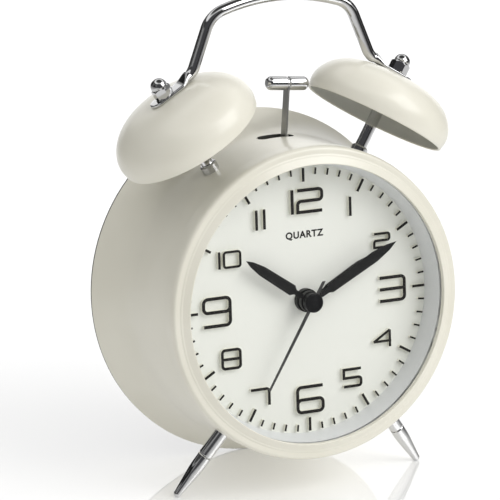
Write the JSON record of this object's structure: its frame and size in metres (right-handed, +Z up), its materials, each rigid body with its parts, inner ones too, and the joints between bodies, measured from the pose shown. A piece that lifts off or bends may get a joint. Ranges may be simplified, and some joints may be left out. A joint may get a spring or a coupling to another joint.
{
  "type": "alarm clock",
  "caption": "Twin-bell alarm clock: round drum case on two splayed feet, two tilted bells with a hammer between them and a bent carrying handle.",
  "frame": {"origin": "centre of the bounding box's bottom face: on the ground, midway between the sides and midway between the bezel's front and the knobs' backs", "axes": "+Z up, +X to the right of someone reading the dial, +Y back from the dial; the clock leans back, so its dial faces -Y and slightly up"},
  "size_m": [0.1118, 0.0658, 0.1549],
  "materials": {
    "cream_paint": "warm off-white gloss enamel",
    "chrome": "bright chrome plate",
    "clear_lens": "clear, polished",
    "ring_white": "satin white",
    "dial_white": "matt white",
    "black_trim": "black, slight sheen",
    "black_hand": "black satin",
    "dark_steel": "dark nickel",
    "black_plastic": "fine matt black",
    "steel": "zinc plate",
    "brass": "turned brass",
    "gear_plastic": "natural acetal",
    "shell_plastic": "dark moulded",
    "copper": "enamelled copper wire",
    "board": "green solder mask",
    "magnet": "sintered",
    "lamp": "clear epoxy",
    "cell": "printed sleeve"
  },
  "bodies": {
    "case": {"case_drum": "cream_paint", "front_bezel": "cream_paint", "lens": "clear_lens", "dial_ring": "ring_white", "dial_lamp": "lamp", "dial_plate": "dial_white", "hour_numerals": "black_trim", "minute_marks": "black_trim", "dial_nut": "black_hand", "movement_front_shell": "shell_plastic", "movement_rear_shell": "shell_plastic", "movement_middle_plate": "shell_plastic", "movement_screws": "steel", "stepper_stator": "steel", "stepper_coil": "copper", "circuit_board": "board", "striker_bracket": "steel", "hammer_pin": "steel", "striker_motor": "steel", "bell_right": "cream_paint", "bell_left": "cream_paint", "bell_post_right": "chrome", "bell_post_left": "chrome", "post_collars": "chrome", "cap_nuts": "chrome", "carry_handle": "chrome", "foot_right": "chrome", "foot_left": "chrome", "case_nuts": "steel", "back_cover": "black_plastic", "battery_cells": "cell", "battery_springs": "steel", "battery_contacts": "steel", "alarm_switch_body": "shell_plastic", "light_switch": "shell_plastic", "cover_screws": "steel"},
    "minute_hand": {"minute_hand": "black_hand", "cannon_pinion": "brass"},
    "hour_hand": {"hour_hand": "black_hand", "hour_wheel": "gear_plastic"},
    "minute_wheel": {"minute_wheel": "gear_plastic"},
    "time_setter": {"time_set_shaft": "steel", "time_set_knob": "black_plastic"},
    "second_hand": {"second_hand": "dark_steel", "second_wheel": "gear_plastic"},
    "third_wheel": {"third_wheel": "gear_plastic"},
    "centre_wheel": {"centre_wheel": "gear_plastic"},
    "drive_wheel": {"drive_wheel": "gear_plastic"},
    "stepper_rotor": {"stepper_rotor": "magnet"},
    "alarm_hand": {"alarm_hand": "dark_steel", "alarm_wheel": "gear_plastic"},
    "alarm_setter": {"alarm_set_shaft": "steel", "alarm_set_knob": "black_plastic"},
    "hammer": {"hammer_arm": "chrome", "hammer_head": "chrome"},
    "striker_gear": {"striker_gear": "gear_plastic"},
    "motor_pinion": {"motor_pinion": "brass"},
    "alarm_switch": {"alarm_switch": "black_plastic"},
    "light_button": {"light_button": "black_plastic"},
    "battery_door": {"battery_door": "black_plastic"}
  },
  "joints": [
    {"name": "minute_hand_turn", "type": "hinge", "parent": "case", "child": "minute_hand", "pos_m": [0, -0.00885, 0.0591], "axis": [0, 0.993, -0.1185], "continuous": true},
    {"name": "hour_hand_turn", "type": "hinge", "parent": "case", "child": "hour_hand", "pos_m": [0, -0.00885, 0.0591], "axis": [0, 0.993, -0.1185], "continuous": true},
    {"name": "minute_wheel_turn", "type": "hinge", "parent": "case", "child": "minute_wheel", "pos_m": [-0.00758, -0.00833, 0.06344], "axis": [0, 0.993, -0.1185], "continuous": true},
    {"name": "time_set_turn", "type": "hinge", "parent": "case", "child": "time_setter", "pos_m": [-0.0132, -0.00754, 0.0701], "axis": [0, 0.993, -0.1185], "continuous": true},
    {"name": "second_hand_turn", "type": "hinge", "parent": "case", "child": "second_hand", "pos_m": [0, -0.00885, 0.0591], "axis": [0, 0.993, -0.1185], "continuous": true},
    {"name": "third_wheel_turn", "type": "hinge", "parent": "case", "child": "third_wheel", "pos_m": [0.0054, -0.00996, 0.04981], "axis": [0, 0.993, -0.1185], "continuous": true},
    {"name": "centre_wheel_turn", "type": "hinge", "parent": "case", "child": "centre_wheel", "pos_m": [0, -0.00885, 0.0591], "axis": [0, 0.993, -0.1185], "continuous": true},
    {"name": "drive_wheel_turn", "type": "hinge", "parent": "case", "child": "drive_wheel", "pos_m": [0.00987, -0.00842, 0.06266], "axis": [0, 0.993, -0.1185], "continuous": true},
    {"name": "rotor_turn", "type": "hinge", "parent": "case", "child": "stepper_rotor", "pos_m": [0.01644, -0.00871, 0.06028], "axis": [0, 0.993, -0.1185], "continuous": true},
    {"name": "alarm_hand_turn", "type": "hinge", "parent": "case", "child": "alarm_hand", "pos_m": [0, -0.00885, 0.0591], "axis": [0, 0.993, -0.1185], "continuous": true},
    {"name": "alarm_set_turn", "type": "hinge", "parent": "case", "child": "alarm_setter", "pos_m": [0.00443, -0.00741, 0.07119], "axis": [0, 0.993, -0.1185], "continuous": true},
    {"name": "hammer_swing", "type": "hinge", "parent": "case", "child": "hammer", "pos_m": [0, 0.00194, 0.07352], "axis": [0, 0.993, -0.1185], "range_deg": [-10.6, 0]},
    {"name": "striker_gear_turn", "type": "hinge", "parent": "case", "child": "striker_gear", "pos_m": [0, -0.00859, 0.06128], "axis": [0, 0.993, -0.1185], "continuous": true},
    {"name": "motor_turn", "type": "hinge", "parent": "case", "child": "motor_pinion", "pos_m": [0.01125, -0.00859, 0.06128], "axis": [0, 0.993, -0.1185], "continuous": true},
    {"name": "alarm_switch_slide", "type": "slide", "parent": "case", "child": "alarm_switch", "axis": [0, 0.1185, 0.993], "range_m": [0, 0.005]},
    {"name": "light_button_press", "type": "slide", "parent": "case", "child": "light_button", "axis": [0, -0.993, 0.1185], "range_m": [0, 0.0012], "stiffness_N_per_m": 400, "springref_m": -0.0005},
    {"name": "battery_door_tip", "type": "hinge", "parent": "case", "child": "battery_door", "pos_m": [0, 0.01799, 0.01727], "axis": [-1, 0, 0], "range_deg": [0, 75]}
  ],
  "couplings": [
    {"joint": "hour_hand_turn", "follows": "minute_hand_turn", "ratio": 0.083333},
    {"joint": "minute_wheel_turn", "follows": "minute_hand_turn", "ratio": -0.33333},
    {"joint": "time_set_turn", "follows": "minute_hand_turn", "ratio": 1},
    {"joint": "third_wheel_turn", "follows": "second_hand_turn", "ratio": -0.13333},
    {"joint": "centre_wheel_turn", "follows": "second_hand_turn", "ratio": 0.016667},
    {"joint": "drive_wheel_turn", "follows": "second_hand_turn", "ratio": -5},
    {"joint": "rotor_turn", "follows": "second_hand_turn", "ratio": 30},
    {"joint": "alarm_set_turn", "follows": "alarm_hand_turn", "ratio": -5},
    {"joint": "motor_turn", "follows": "striker_gear_turn", "ratio": -4}
  ]
}
